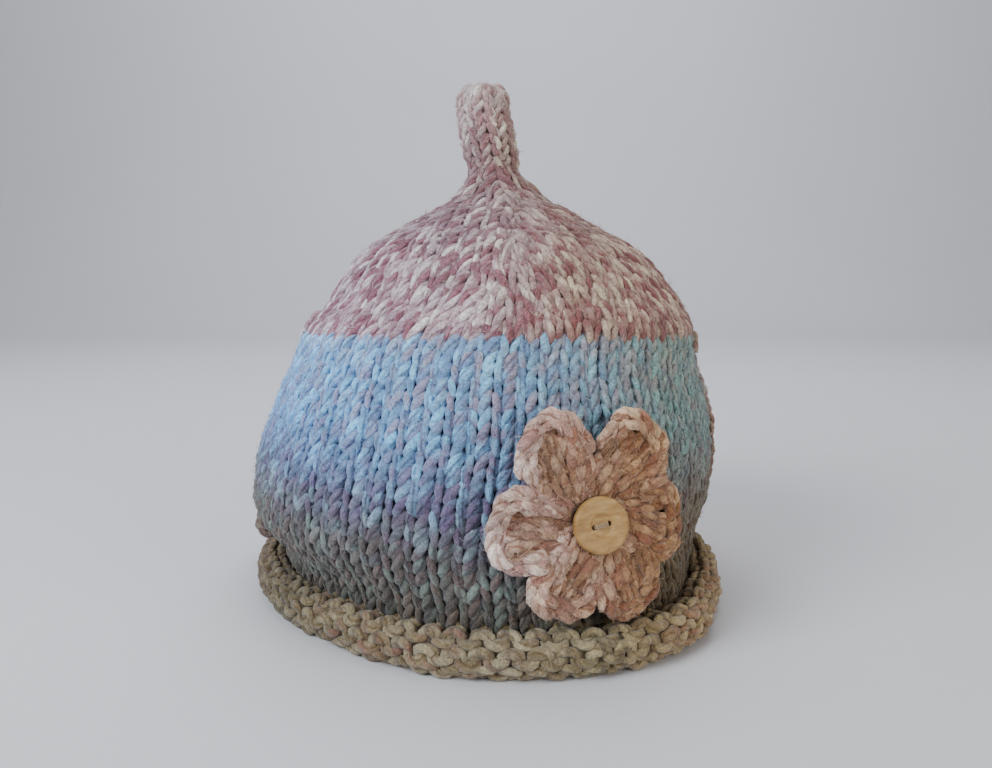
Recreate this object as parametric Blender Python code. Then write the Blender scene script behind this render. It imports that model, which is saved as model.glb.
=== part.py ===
"""Hand-knitted tea cosy: a hollow knitted body with two side slits, a rolled hem and a
closed stalk, with a crocheted flower and a two-hole wooden button sewn on its front.

Sizes in the tables are millimetres and degrees. Azimuth runs from +X towards +Y, so the
front of the cosy is at -90. Run it in Blender; it leaves three objects in the scene.
"""

import math
from collections import namedtuple

import bmesh
import bpy
from mathutils import Matrix, Vector

MM = 0.001

# Driving dimensions of the knitting
CLOTH_THICKNESS = 4.6
COLUMNS = 60
RIGHT_SLIT_AZIMUTH = -10.0
SLIT_COLUMNS_THAT_GIVE = 5
FOOT_HEIGHT = 13.0
BODY_STARTS = 38.0
STALK_TUFT = 1.3

# Driving dimensions of the flower and the button
FLOWER_AZIMUTH = -69.2
FLOWER_HEIGHT = 48.2
FLOWER_LEANS_BACK = 6.0
FLOWER_STANDS_OFF = 1.0
PETAL_BACK_BEND = 1 / 330.0
HEART_HEIGHT = 4.9
HEART_RADIUS = 12.4
HEART_BLEND = 4.0
PETAL_DISH = 3.6
PETAL_CUP = 3.4
POST_RELIEF = 0.35
BUTTON_DIAMETER = 18.0
BUTTON_THICKNESS = 3.0
BUTTON_OFFSET = (2.6, -1.5)
BUTTON_TURN = -9.5
BUTTON_NOD = 3.0
HOLE_DIAMETER = 1.8
HOLE_SPACING = 4.6
GAP = 0.3

Section = namedtuple("Section", "height radius lean")
Hem = namedtuple("Hem", "azimuth reach")
Turn = namedtuple("Turn", "out up")
Slit = namedtuple("Slit", "column low high gap lift_before lift_after")
Petal = namedtuple("Petal", "angle reach half_width")

# The knitted body from above the hem to the crown: outer radius and sideways lean
BODY = [
    Section(20, 91.0, -2.5),
    Section(28, 92.0, -2.8),
    Section(36, 92.3, -2.2),
    Section(45, 92.5, -1.2),
    Section(54, 92.0, -0.4),
    Section(63, 90.6, 0.8),
    Section(72, 88.3, 2.0),
    Section(82, 85.3, 2.5),
    Section(91, 81.8, 3.0),
    Section(100, 79.2, 4.3),
    Section(108, 76.4, 6.4),
    Section(115, 71.7, 7.6),
    Section(122, 66.5, 7.3),
    Section(129, 60.9, 6.7),
    Section(136, 52.5, 6.4),
    Section(142, 41.5, 5.8),
    Section(147.5, 31.5, 6.0),
]

# The top of the crown and the closed stalk, which has no room inside
STALK = [
    Section(153, 21.2, 5.8),
    Section(157.5, 15.8, 4.8),
    Section(161.5, 12.4, 4.0),
    Section(166, 10.4, 3.4),
    Section(172, 11.1, 2.2),
    Section(180, 11.4, 0.6),
    Section(188, 11.0, -0.8),
    Section(194, 10.0, -1.2),
    Section(197.5, 7.2, -1.1),
]
STALK_TIP = Section(196.5, 0, -1.0)

# The underside of the crown, below the root of the stalk
CEILING = [Section(147, 15.0, 6.0)]
CEILING_TIP = Section(148.2, 0, 6.0)

# How far the rolled hem reaches from the axis, round the cosy
HEM = [
    Hem(-90, 103.0),
    Hem(-79, 104.5),
    Hem(-69, 107.0),
    Hem(-57, 107.5),
    Hem(-46, 106.5),
    Hem(-32, 100.0),
    Hem(-17, 96.0),
    Hem(0, 94.0),
    Hem(35, 93.0),
    Hem(70, 92.0),
    Hem(100, 92.5),
    Hem(135, 94.0),
    Hem(170, 94.5),
    Hem(187, 94.5),
    Hem(213, 93.8),
    Hem(234, 94.2),
    Hem(251, 98.0),
    Hem(262, 101.5),
]

# The middle of the cloth round the roll, from its free edge to the wall, seen from the
# middle of the roll: the cloth runs out under the wall, up and back over itself
ROLL = [
    Turn(-1.6, 11.7),
    Turn(0.9, 12.7),
    Turn(3.7, 11.4),
    Turn(5.2, 8.0),
    Turn(4.5, 4.6),
    Turn(2.4, 2.3),
    Turn(-2.6, 2.3),
    Turn(-5.6, 4.2),
    Turn(-7.0, 8.0),
    Turn(-7.2, 12.6),
]
RESTING_TURNS = (5, 6)
ROLL_OUTER = 5.2 + CLOTH_THICKNESS / 2
WALL_FROM_ROLL = -7.2 + CLOTH_THICKNESS / 2

SLITS = [
    Slit(column=0, low=22, high=100, gap=17, lift_before=0.0, lift_after=3.5),
    Slit(column=30, low=22, high=100, gap=32, lift_before=1.5, lift_after=2.0),
]

PETALS = [
    Petal(angle=-6, reach=35.0, half_width=13.5),
    Petal(angle=51, reach=38.3, half_width=13.5),
    Petal(angle=118, reach=37.4, half_width=13.0),
    Petal(angle=184, reach=34.5, half_width=13.0),
    Petal(angle=242, reach=32.5, half_width=11.5),
    Petal(angle=298, reach=35.2, half_width=12.5),
]
PETAL_STEPS = 72
POSTS_ROUND = 34
BETWEEN_PETALS = 15.0
FRONT_SHARES = (0.14, 0.28, 0.42, 0.56, 0.70, 0.82, 0.91, 0.97)
BACK_SHARES = (0.94, 0.7, 0.4)
EDGE_ROUNDING = 0.9


def clear_scene():
    for old in list(bpy.data.objects):
        bpy.data.objects.remove(old, do_unlink=True)


def smooth(value):
    value = min(max(value, 0.0), 1.0)
    return value * value * (3 - 2 * value)


def hem_reach(azimuth):
    """The roll's outer radius at an azimuth, eased between the rows of the table."""
    rows = HEM + [Hem(HEM[0].azimuth + 360, HEM[0].reach)]
    turn = (azimuth - HEM[0].azimuth) % 360 + HEM[0].azimuth
    for here, ahead in zip(rows, rows[1:]):
        if turn <= ahead.azimuth:
            share = (turn - here.azimuth) / (ahead.azimuth - here.azimuth)
            return here.reach + (ahead.reach - here.reach) * smooth(share)
    return rows[-1].reach


def turned_normals(path):
    """Unit normals of a section's path of (out, up) points, on the outward side."""
    found = []
    for place in range(len(path)):
        before = path[max(place - 1, 0)]
        after = path[min(place + 1, len(path) - 1)]
        along = Vector((after[0] - before[0], after[1] - before[1])).normalized()
        found.append(Vector((along.y, -along.x)))
    return found


def cloth_section(azimuth, lift):
    """(lean, knit side, purl side) of each row of the cloth at one azimuth."""
    roll_middle = hem_reach(azimuth) - ROLL_OUTER
    roll = [(roll_middle + turn.out, turn.up) for turn in ROLL]
    rows = []
    for place, (point, normal) in enumerate(zip(roll, turned_normals(roll))):
        half = normal * (CLOTH_THICKNESS / 2)
        knit, purl = Vector(point) + half, Vector(point) - half
        if place in RESTING_TURNS:
            purl.y = 0.0
        rows.append((0.0, knit, purl))
    foot = roll_middle + WALL_FROM_ROLL
    wall, leans = [], []
    for section in BODY:
        share = smooth((section.height - FOOT_HEIGHT) / (BODY_STARTS - FOOT_HEIGHT))
        radius = foot + (section.radius - foot) * share
        wall.append((radius + lift(section.height), section.height))
        leans.append(section.lean * share)
    for lean, point, normal in zip(leans, wall, turned_normals(wall)):
        rows.append((lean, Vector(point), Vector(point) - normal * CLOTH_THICKNESS))
    return rows


def at(azimuth, lean, point):
    turn = math.radians(azimuth)
    return Vector((lean + point[0] * math.cos(turn), point[0] * math.sin(turn), point[1]))


def slit_opening(slit, height):
    """How far one edge of a slit is from its middle line at a height."""
    share = (height - slit.low) / (slit.high - slit.low)
    if not 0.001 < share < 0.999:
        return 0.0
    return slit.gap / 2 * math.sin(math.pi * share) ** 0.7


def column_azimuth(column):
    return RIGHT_SLIT_AZIMUTH + 360.0 * column / COLUMNS


def steps_from(column, slit):
    """Columns from a slit to this one: below zero before it, above zero after it."""
    return (column - slit.column + COLUMNS // 2) % COLUMNS - COLUMNS // 2


def cloth_point(row, column, side):
    """The knit and purl points of a row and column. On a slit's own column, side is -1
    for the edge before the slit and 1 for the edge after it."""
    height = BODY[row - len(ROLL)].height if row >= len(ROLL) else 0.0
    radius = BODY[row - len(ROLL)].radius if row >= len(ROLL) else 100.0
    azimuth, lifts = column_azimuth(column), []
    for slit in SLITS:
        steps = steps_from(column, slit)
        share = max(0.0, 1 - abs(steps) / SLIT_COLUMNS_THAT_GIVE)
        way = side if steps == 0 else math.copysign(1, steps)
        opening = slit_opening(slit, height) * share
        azimuth += math.degrees(way * opening / radius)
        lift = slit.lift_before if way < 0 else slit.lift_after
        lifts.append((slit, lift * share * share))

    def lift(level):
        return sum(size * slit_opening(s, level) / (s.gap / 2) for s, size in lifts)

    lean, knit, purl = cloth_section(azimuth, lift)[row]
    return at(azimuth, lean, knit), at(azimuth, lean, purl)


def split_here(row, column):
    if row < len(ROLL):
        return False
    height = BODY[row - len(ROLL)].height
    return any(s.column == column and slit_opening(s, height) > 0 for s in SLITS)


def ring(bm, section, wave=0.0):
    """A closed ring of vertices, one for each column."""
    made = []
    for column in range(COLUMNS):
        azimuth = column_azimuth(column)
        level = section.height + wave * math.cos(2 * math.radians(azimuth))
        made.append(bm.verts.new(at(azimuth, section.lean, (section.radius, level))))
    return [(v, v) for v in made]


def face(bm, *corners):
    different = []
    for corner in corners:
        if corner not in different:
            different.append(corner)
    if len(different) > 2:
        bm.faces.new(different)


def skin(bm, rows, columns=COLUMNS):
    """Faces between neighbouring rows of (before, after) vertex pairs."""
    for low, high in zip(rows, rows[1:]):
        for column in range(columns):
            ahead = (column + 1) % columns
            here, there = low[column][1], low[ahead][0]
            face(bm, here, there, high[ahead][0], high[column][1])


def close_to(bm, row, tip, columns=COLUMNS):
    for column in range(columns):
        face(bm, row[column][1], row[(column + 1) % columns][0], tip)


def build_cloth():
    """The one piece of knitting: roll, body with two slits, crown and stalk."""
    bm = bmesh.new()
    knit_rows, purl_rows = [], []
    for row in range(len(ROLL) + len(BODY)):
        knit_row, purl_row = [], []
        for column in range(COLUMNS):
            sides = (-1, 1) if split_here(row, column) else (1,)
            points = [cloth_point(row, column, side) for side in sides]
            knits = [bm.verts.new(point[0]) for point in points]
            purls = [bm.verts.new(point[1]) for point in points]
            knit_row.append((knits[0], knits[-1]))
            purl_row.append((purls[0], purls[-1]))
        knit_rows.append(knit_row)
        purl_rows.append(purl_row)
    skin(bm, [knit_rows[0], purl_rows[0]])
    for slit in SLITS:
        close_slit_edges(bm, slit.column, knit_rows, purl_rows)
    last = len(STALK) - 1
    tops = [ring(bm, s, STALK_TUFT if place == last else 0.0) for place, s in enumerate(STALK)]
    skin(bm, knit_rows + tops)
    close_to(bm, tops[-1], bm.verts.new(at(0, STALK_TIP.lean, (0, STALK_TIP.height))))
    under = [ring(bm, section) for section in CEILING]
    skin(bm, purl_rows + under)
    close_to(bm, under[-1], bm.verts.new(at(0, CEILING_TIP.lean, (0, CEILING_TIP.height))))
    bmesh.ops.recalc_face_normals(bm, faces=bm.faces[:])
    return to_object(bm, "cosy", knitted_yarn())


def close_slit_edges(bm, column, knit_rows, purl_rows):
    """The cut-thickness faces down both edges of a slit."""
    for row in range(len(knit_rows) - 1):
        if not (split_here(row, column) or split_here(row + 1, column)):
            continue
        for side in (0, 1):
            low, high = knit_rows[row][column][side], knit_rows[row + 1][column][side]
            back_low, back_high = purl_rows[row][column][side], purl_rows[row + 1][column][side]
            face(bm, low, high, back_high, back_low)


def petal_outline(angle):
    """How far the flower's edge is from its centre at an angle, in degrees."""
    edge = BETWEEN_PETALS
    for petal in PETALS:
        off = math.radians((angle - petal.angle + 180) % 360 - 180)
        middle = petal.reach - petal.half_width
        across = middle * math.sin(off)
        if abs(across) < petal.half_width and math.cos(off) > 0:
            far = middle * math.cos(off) + math.sqrt(petal.half_width**2 - across**2)
            edge = max(edge, far)
    return edge


def flower_back(across):
    return -PETAL_BACK_BEND * across * across


def button_plane(across, up):
    """Height of the button's back over the flower's back plane."""
    lean = math.tan(math.radians(-BUTTON_TURN)) * (across - BUTTON_OFFSET[0])
    nod = math.tan(math.radians(BUTTON_NOD)) * (up - BUTTON_OFFSET[1])
    return HEART_HEIGHT + lean - nod


def flower_front(angle, distance, outline):
    """Height of the flower's face: a seat under the button, then cupped petals."""
    across = distance * math.cos(math.radians(angle))
    up = distance * math.sin(math.radians(angle))
    share = distance / outline
    full_petal = smooth((outline - BETWEEN_PETALS) / 20.0 + 0.35)
    cup = PETAL_DISH + PETAL_CUP * smooth((share - 0.45) / 0.42) * full_petal
    ribs = math.cos(math.radians(angle) * POSTS_ROUND) * smooth((share - 0.3) * 4)
    petal = flower_back(across) + cup + POST_RELIEF * ribs
    seat = button_plane(across, up) - GAP
    from_button = math.hypot(across - BUTTON_OFFSET[0], up - BUTTON_OFFSET[1])
    blend = smooth((from_button - HEART_RADIUS) / HEART_BLEND)
    return seat + (petal - seat) * blend


def build_flower():
    """Six cupped crocheted petals round a flat heart, as one thick worked piece."""
    bm = bmesh.new()
    rings = [[] for _ in range(len(FRONT_SHARES) + 1 + len(BACK_SHARES))]
    for step in range(PETAL_STEPS):
        angle = 360.0 * step / PETAL_STEPS
        outline = petal_outline(angle)
        cos, sin = math.cos(math.radians(angle)), math.sin(math.radians(angle))
        points = []
        for share in FRONT_SHARES:
            drop = EDGE_ROUNDING if share == FRONT_SHARES[-1] else 0.0
            distance = share * outline
            points.append((distance, flower_front(angle, distance, outline) - drop))
        points.append((outline, flower_back(outline * cos) + PETAL_DISH))
        for share in BACK_SHARES:
            rise = EDGE_ROUNDING if share == BACK_SHARES[0] else 0.0
            distance = share * outline
            points.append((distance, flower_back(distance * cos) + rise))
        for place, (distance, height) in enumerate(points):
            vert = bm.verts.new((distance * cos, distance * sin, height))
            rings[place].append((vert, vert))
    skin(bm, rings, PETAL_STEPS)
    close_to(bm, rings[0], bm.verts.new((0, 0, button_plane(0, 0) - GAP)), PETAL_STEPS)
    close_to(bm, rings[-1], bm.verts.new((0, 0, 0)), PETAL_STEPS)
    bmesh.ops.recalc_face_normals(bm, faces=bm.faces[:])
    flower = to_object(bm, "crochet_flower", crochet_yarn())
    flower.matrix_world = flower_place()
    return flower


def flower_place():
    """Where the flower lies: +Z of its own frame points out of the cosy's front."""
    turn = math.radians(FLOWER_AZIMUTH)
    outward = Vector((math.cos(turn), math.sin(turn), math.tan(math.radians(FLOWER_LEANS_BACK))))
    outward.normalize()
    right = Vector((-math.sin(turn), math.cos(turn), 0))
    upward = outward.cross(right)
    section = min(BODY, key=lambda s: abs(s.height - FLOWER_HEIGHT))
    place = at(FLOWER_AZIMUTH, section.lean, (section.radius + FLOWER_STANDS_OFF, FLOWER_HEIGHT))
    basis = Matrix((right, upward, outward)).transposed().to_4x4()
    return Matrix.Translation(place * MM) @ basis


def build_button():
    """A turned disc with a rounded rim, a shallow dish and two sewing holes."""
    radius, thick = BUTTON_DIAMETER / 2, BUTTON_THICKNESS
    profile = [
        (0, 0),
        (radius - 1.0, 0),
        (radius - 0.25, 0.45),
        (radius, 1.1),
        (radius, thick - 1.1),
        (radius - 0.35, thick - 0.35),
        (radius - 1.1, thick),
        (radius - 1.9, thick - 0.12),
        (3.9, thick - 0.3),
        (3.2, thick - 0.75),
        (0, thick - 0.85),
    ]
    bm = bmesh.new()
    verts = [bm.verts.new((out, 0, up)) for out, up in profile]
    edges = [bm.edges.new(pair) for pair in zip(verts, verts[1:])]
    bmesh.ops.spin(
        bm, geom=verts + edges, cent=(0, 0, 0), axis=(0, 0, 1), angle=math.tau, steps=40
    )
    bmesh.ops.remove_doubles(bm, verts=bm.verts[:], dist=0.001)
    bmesh.ops.recalc_face_normals(bm, faces=bm.faces[:])
    button = to_object(bm, "button", pale_wood())
    middle = Vector((*BUTTON_OFFSET, button_plane(*BUTTON_OFFSET)))
    tilt = Matrix.Rotation(math.radians(BUTTON_TURN), 4, "Y")
    nod = Matrix.Rotation(math.radians(-BUTTON_NOD), 4, "X")
    button.matrix_world = flower_place() @ Matrix.Translation(middle * MM) @ tilt @ nod
    for side in (-1, 1):
        cut_hole(button, side * HOLE_SPACING / 2)
    return button


def cut_hole(button, across):
    """A straight hole through the button, on the line between its two sewing holes."""
    bm = bmesh.new()
    bmesh.ops.create_cone(
        bm,
        cap_ends=True,
        segments=14,
        radius1=HOLE_DIAMETER / 2,
        radius2=HOLE_DIAMETER / 2,
        depth=BUTTON_THICKNESS * 3,
        matrix=Matrix.Translation((across, across * 0.21, 0)),
    )
    cutter = to_object(bm, f"hole_cutter_{'left' if across < 0 else 'right'}", None)
    cutter.matrix_world = button.matrix_world
    cutter.hide_render = True
    cutter.display_type = "WIRE"
    cut = button.modifiers.new("sewing_hole", "BOOLEAN")
    cut.object = cutter
    cut.operation = "DIFFERENCE"
    cut.solver = "EXACT"


def to_object(bm, name, material):
    """An object from a mesh in millimetres, shaded smooth apart from its sharp edges."""
    bmesh.ops.scale(bm, vec=(MM, MM, MM), verts=bm.verts[:])
    mesh = bpy.data.meshes.new(name)
    bm.to_mesh(mesh)
    bm.free()
    mesh.shade_smooth()
    mesh.set_sharp_from_angle(angle=math.radians(50))
    if material:
        mesh.materials.append(material)
    made = bpy.data.objects.new(name, mesh)
    bpy.context.scene.collection.objects.link(made)
    return made


def plain_material(name, colour, roughness):
    material = bpy.data.materials.new(name)
    material.use_nodes = True
    shader = material.node_tree.nodes["Principled BSDF"]
    shader.inputs["Base Color"].default_value = (*colour, 1)
    shader.inputs["Roughness"].default_value = roughness
    shader.inputs["Metallic"].default_value = 0.0
    return material


def knitted_yarn():
    return plain_material("knitted_yarn", (0.43, 0.45, 0.50), 0.95)


def crochet_yarn():
    return plain_material("crochet_yarn", (0.62, 0.42, 0.38), 0.95)


def pale_wood():
    return plain_material("pale_wood", (0.78, 0.65, 0.45), 0.55)


def stand_on_origin(objects):
    """Moves everything so that the middle of the box's base is the origin."""
    bpy.context.view_layer.update()
    corners = [o.matrix_world @ v.co for o in objects for v in o.data.vertices]
    low = Vector([min(corner[axis] for corner in corners) for axis in range(3)])
    high = Vector([max(corner[axis] for corner in corners) for axis in range(3)])
    middle = Vector(((low.x + high.x) / 2, (low.y + high.y) / 2, low.z))
    for made in bpy.data.objects:
        made.matrix_world = Matrix.Translation(-middle) @ made.matrix_world


def main():
    clear_scene()
    pieces = [build_cloth(), build_flower(), build_button()]
    stand_on_origin(pieces)


main()
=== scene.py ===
import math

import bpy
import numpy as np
from mathutils import Matrix, Vector


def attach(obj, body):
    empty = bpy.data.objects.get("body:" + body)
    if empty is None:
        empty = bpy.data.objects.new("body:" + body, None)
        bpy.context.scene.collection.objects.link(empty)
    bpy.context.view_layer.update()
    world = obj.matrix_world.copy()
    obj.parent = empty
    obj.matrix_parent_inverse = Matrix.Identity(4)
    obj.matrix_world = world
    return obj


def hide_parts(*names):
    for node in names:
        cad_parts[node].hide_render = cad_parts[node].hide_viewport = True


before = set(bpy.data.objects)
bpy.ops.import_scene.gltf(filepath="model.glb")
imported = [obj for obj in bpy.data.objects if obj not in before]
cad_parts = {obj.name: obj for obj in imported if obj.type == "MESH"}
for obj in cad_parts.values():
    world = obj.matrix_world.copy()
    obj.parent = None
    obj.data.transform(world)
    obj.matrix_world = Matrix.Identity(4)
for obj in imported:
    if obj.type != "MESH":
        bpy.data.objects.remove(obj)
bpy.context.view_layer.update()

# A hand-knitted cosy, worked stitch by stitch as real strands of two-ply yarn.
# Tables are in millimetres and degrees; azimuth runs from +X towards +Y, the front is -90.
mm = 0.001
nearby = 0.4    # how far to each side of a point a path's direction is read

# the cloth: the same sections that the solid has
cosyShape = {
    "axis": (0.36, 5.38),         # where the body's middle stands in the frame
    "thickness": 4.6,
    "rollOuter": 7.5,             # middle of the roll to its outside
    "wallFromRoll": -4.9,         # middle of the roll to the wall's outside
    "hemReach": 95.0,             # usual outer radius of the hem
    "footHeight": 13.0,
    "bodyStarts": 38.0,
    # out from the roll's middle, up: the cloth's middle from its free edge to the wall
    "roll": [(-1.6, 11.7), (0.9, 12.7), (3.7, 11.4), (5.2, 8.0), (4.5, 4.6), (2.4, 2.3),
             (-2.6, 2.3), (-5.6, 4.2), (-7.0, 8.0), (-7.2, 12.6)],
    # height, outer radius, lean towards +X
    "wall": [(20, 91.0, -2.5), (28, 92.0, -2.8), (36, 92.3, -2.2), (45, 92.5, -1.2),
             (54, 92.0, -0.4), (63, 90.6, 0.8), (72, 88.3, 2.0), (82, 85.3, 2.5),
             (91, 81.8, 3.0), (100, 79.2, 4.3), (108, 76.4, 6.4), (115, 71.7, 7.6),
             (122, 66.5, 7.3), (129, 60.9, 6.7), (136, 52.5, 6.4), (142, 41.5, 5.8),
             (147.5, 31.5, 6.0), (153, 21.2, 5.8), (157.5, 15.8, 4.8), (161.5, 12.4, 4.0),
             (166, 10.4, 3.4), (172, 11.1, 2.2), (180, 11.4, 0.6), (188, 11.0, -0.8),
             (194, 10.0, -1.2), (197.5, 7.2, -1.1)],
    # azimuth, outer radius of the rolled hem
    "hem": [(-90, 103.0), (-79, 104.5), (-69, 107.0), (-57, 107.5), (-46, 106.5),
            (-32, 100.0), (-17, 96.0), (0, 94.0), (35, 93.0), (70, 92.0), (100, 92.5),
            (135, 94.0), (170, 94.5), (187, 94.5), (213, 93.8), (234, 94.2), (251, 98.0),
            (262, 101.5)],
    "droop": 3.0,                 # how much the rows sag at the two sides
    "droopFades": ((35, 50), (108, 35)),    # height where the sag sets in, and goes; over how much
}

slits = [
    {"azimuth": -10.0, "low": 22, "high": 100, "gap": 17, "liftBefore": 0.0, "liftAfter": 3.5},
    {"azimuth": 170.0, "low": 22, "high": 100, "gap": 32, "liftBefore": 1.5, "liftAfter": 2.0},
]

# how the cloth is knitted
knitting = {
    "columns": 72,
    "firstAzimuth": -10.0,
    "rollRows": 7,
    "bodyRows": 19,
    "crownGores": [9, 9, 9, 9, 8, 8, 7, 7, 7, 6, 6, 5, 5, 4, 4, 3, 3, 2, 2, 1, 1],
    "stalkRows": 8,
    "gores": 8,
    "goresFrom": 10.0,            # where the crown's gores start, after firstAzimuth
    "spine": -90.5,               # azimuth of the raised column up the crown's front
    "samples": 14,                # points along one stitch
    "sides": 8,                   # points round the yarn
    "loopHeight": 0.97,           # half the loop's height, in rows
    "loopWaist": 0.215,           # how much the loop swings sideways, in columns
    "loopDepth": 1.05,            # how far the legs stand in front of the middle, in mm
    "lean": 0.070,                # the whole stitch leans this much, columns for each row
    "yarnWidth": 1.68,            # half-widths of the squashed yarn
    "yarnDepth": 1.38,
    "twistPitch": 36.0,
    "lobes": 0.18,
    "warp": 0.2,                  # draws the points together along the legs
    "depthJitter": 0.22,          # how unevenly the stitches stand out, in mm
    "uneven": {"height": 0.05, "level": 0.06, "swing": 0.14, "across": 0.035, "fat": 0.07},
    "leftLeg": -0.10,             # the left leg of each V is thinner
    "rightLeg": 0.12,
}
# the crown's stitches are drawn out towards the stalk
crownKnitting = {**knitting, "loopHeight": 1.16, "lean": 0.19, "yarnWidth": 1.55,
                 "twistPitch": 30.0, "depthJitter": 0.5}
# the stalk's stitches are plain even Vs
stalkKnitting = {**knitting, "loopWaist": 0.25, "lean": 0.0, "yarnWidth": 1.42,
                 "twistPitch": 16.0, "leftLeg": 0.0, "rightLeg": 0.0}
# the rolled hem shows the purl side: fat bumps with small holes between them
hemKnitting = {**knitting, "samples": 18, "loopHeight": 0.82, "loopDepth": 1.15,
               "yarnWidth": 1.85, "yarnDepth": 1.5, "lean": 0.03, "warp": -0.12,
               "leftLeg": -0.08, "rightLeg": -0.08, "twistPitch": 22.0}


def ease(value):
    value = np.clip(value, 0.0, 1.0)
    return value * value * (3 - 2 * value)


def norms(vectors):
    return np.linalg.norm(vectors, axis=1)[:, None]


def lengthsAlong(points):
    # how far along the line each of its points lies
    steps = np.linalg.norm(np.diff(points, axis=0), axis=1)
    return np.concatenate([[0], np.cumsum(steps)])


def readAlong(lengths, marks, values):
    return np.stack([np.interp(lengths, marks, values[:, c]) for c in range(3)], axis=1)


def evenRun(points, normals, **values):
    # a run of yarn whose other values are the same all along it
    even = {key: np.full(len(points), value) for key, value in values.items()}
    return {"points": points, "normals": normals, **even}


def aroundTable(rows, azimuth):
    # eased between the rows of an (azimuth, value) table that closes on itself
    turns = np.array([row[0] for row in rows] + [rows[0][0] + 360.0])
    values = np.array([row[1] for row in rows] + [rows[0][1]])
    turn = (azimuth - turns[0]) % 360.0 + turns[0]
    place = np.clip(np.searchsorted(turns, turn, side="right") - 1, 0, len(rows) - 1)
    share = (turn - turns[place]) / (turns[place + 1] - turns[place])
    return values[place] + (values[place + 1] - values[place]) * ease(share)


def sectionNormals(out, up):
    along = np.stack([np.gradient(out), np.gradient(up)], axis=1)
    along /= np.linalg.norm(along, axis=1)[:, None]
    return np.stack([along[:, 1], -along[:, 0]], axis=1)


def clothLine(shape):
    # knots of the cloth's middle line: own radius, share of the roll's radius, height, lean
    roll = np.array(shape["roll"])
    knots = [(out, 1.0, up, 0.0) for out, up in roll]
    wall = np.array(shape["wall"])
    span = shape["bodyStarts"] - shape["footHeight"]
    share = ease((wall[:, 0] - shape["footHeight"]) / span)
    rollMiddle = shape["hemReach"] - shape["rollOuter"]
    outer = wall[:, 1] * share + (rollMiddle + shape["wallFromRoll"]) * (1 - share)
    normals = sectionNormals(outer, wall[:, 0]) * shape["thickness"] / 2
    own = wall[:, 1] * share + shape["wallFromRoll"] * (1 - share) - normals[:, 0]
    for row in range(len(wall)):
        height = wall[row, 0] - normals[row, 1]
        knots.append((own[row], 1 - share[row], height, wall[row, 2] * share[row]))
    return np.array(knots)


def catmullRom(knots, perKnot=20):
    padded = np.vstack([2 * knots[0] - knots[1], knots, 2 * knots[-1] - knots[-2]])
    fine = []
    for place in range(len(knots) - 1):
        a, b, c, d = padded[place:place + 4]
        for t in np.linspace(0, 1, perKnot, endpoint=False):
            fine.append(0.5 * (2 * b + (c - a) * t + (2 * a - 5 * b + 4 * c - d) * t**2
                               + (3 * b - a - 3 * c + d) * t**3))
    fine.append(knots[-1])
    return np.array(fine), np.linspace(0, len(knots) - 1, (len(knots) - 1) * perKnot + 1)


clothKnots = clothLine(cosyShape)
fineLine, finePlaces = catmullRom(clothKnots)
rollEnds = len(cosyShape["roll"]) - 1
bodyEnds = rollEnds + 1 + [row[0] for row in cosyShape["wall"]].index(100)
crownEnds = rollEnds + 1 + [row[0] for row in cosyShape["wall"]].index(166)
stalkEnds = len(clothKnots) - 1


def slitOpening(slit, height):
    share = np.clip((height - slit["low"]) / (slit["high"] - slit["low"]), 0, 1)
    return slit["gap"] / 2 * np.sin(np.pi * share) ** 0.7


def clothPoint(azimuth, place, panel="round", wide=50.0, liftWide=30.0):
    # a point on the middle of the cloth, in mm; panel says which side of the slits it is on
    own, share, height, lean = (np.interp(place, finePlaces, fineLine[:, c]) for c in range(4))
    reach = aroundTable(cosyShape["hem"], azimuth) - cosyShape["rollOuter"]
    radius = own + share * reach
    turn = azimuth.copy() if isinstance(azimuth, np.ndarray) else azimuth
    for slit in slits:
        off = (azimuth - slit["azimuth"] + 180.0) % 360.0 - 180.0
        side = np.sign(off)
        if panel == "front":
            side = -1.0 if slit["azimuth"] < 0 else 1.0
        if panel == "back":
            side = 1.0 if slit["azimuth"] < 0 else -1.0
        opening = slitOpening(slit, height)
        near = np.clip(1 - np.abs(off) / wide, 0, 1.0)
        turn = turn + np.degrees(side * opening * near / np.maximum(radius, 30.0))
        lift = np.where(side < 0, slit["liftBefore"], slit["liftAfter"])
        nearLift = np.clip(1 - np.abs(off) / liftWide, 0, 1) ** 2
        radius = radius + lift * nearLift * opening / (slit["gap"] / 2)
    sag = np.cos(np.radians(azimuth)) ** 2 * cosyShape["droop"]
    (low, lowSpan), (high, highSpan) = cosyShape["droopFades"]
    level = ease((height - low) / lowSpan) * (1 - ease((height - high) / highSpan))
    height = height - sag * level
    angle = np.radians(turn)
    x = cosyShape["axis"][0] + lean + radius * np.cos(angle)
    y = cosyShape["axis"][1] + radius * np.sin(angle)
    return np.stack([x, y, height], axis=-1)


def clothNormal(azimuth, place, panel="round"):
    # the knit side's normal: outwards on the wall
    acrossStep, upStep = 0.4, 0.04
    across = (clothPoint(azimuth + acrossStep, place, panel)
              - clothPoint(azimuth - acrossStep, place, panel))
    up = (clothPoint(azimuth, np.minimum(place + upStep, stalkEnds), panel)
          - clothPoint(azimuth, np.maximum(place - upStep, 0), panel))
    normal = np.cross(across, up)
    return normal / np.maximum(np.linalg.norm(normal, axis=-1), 1e-9)[:, None]


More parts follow.
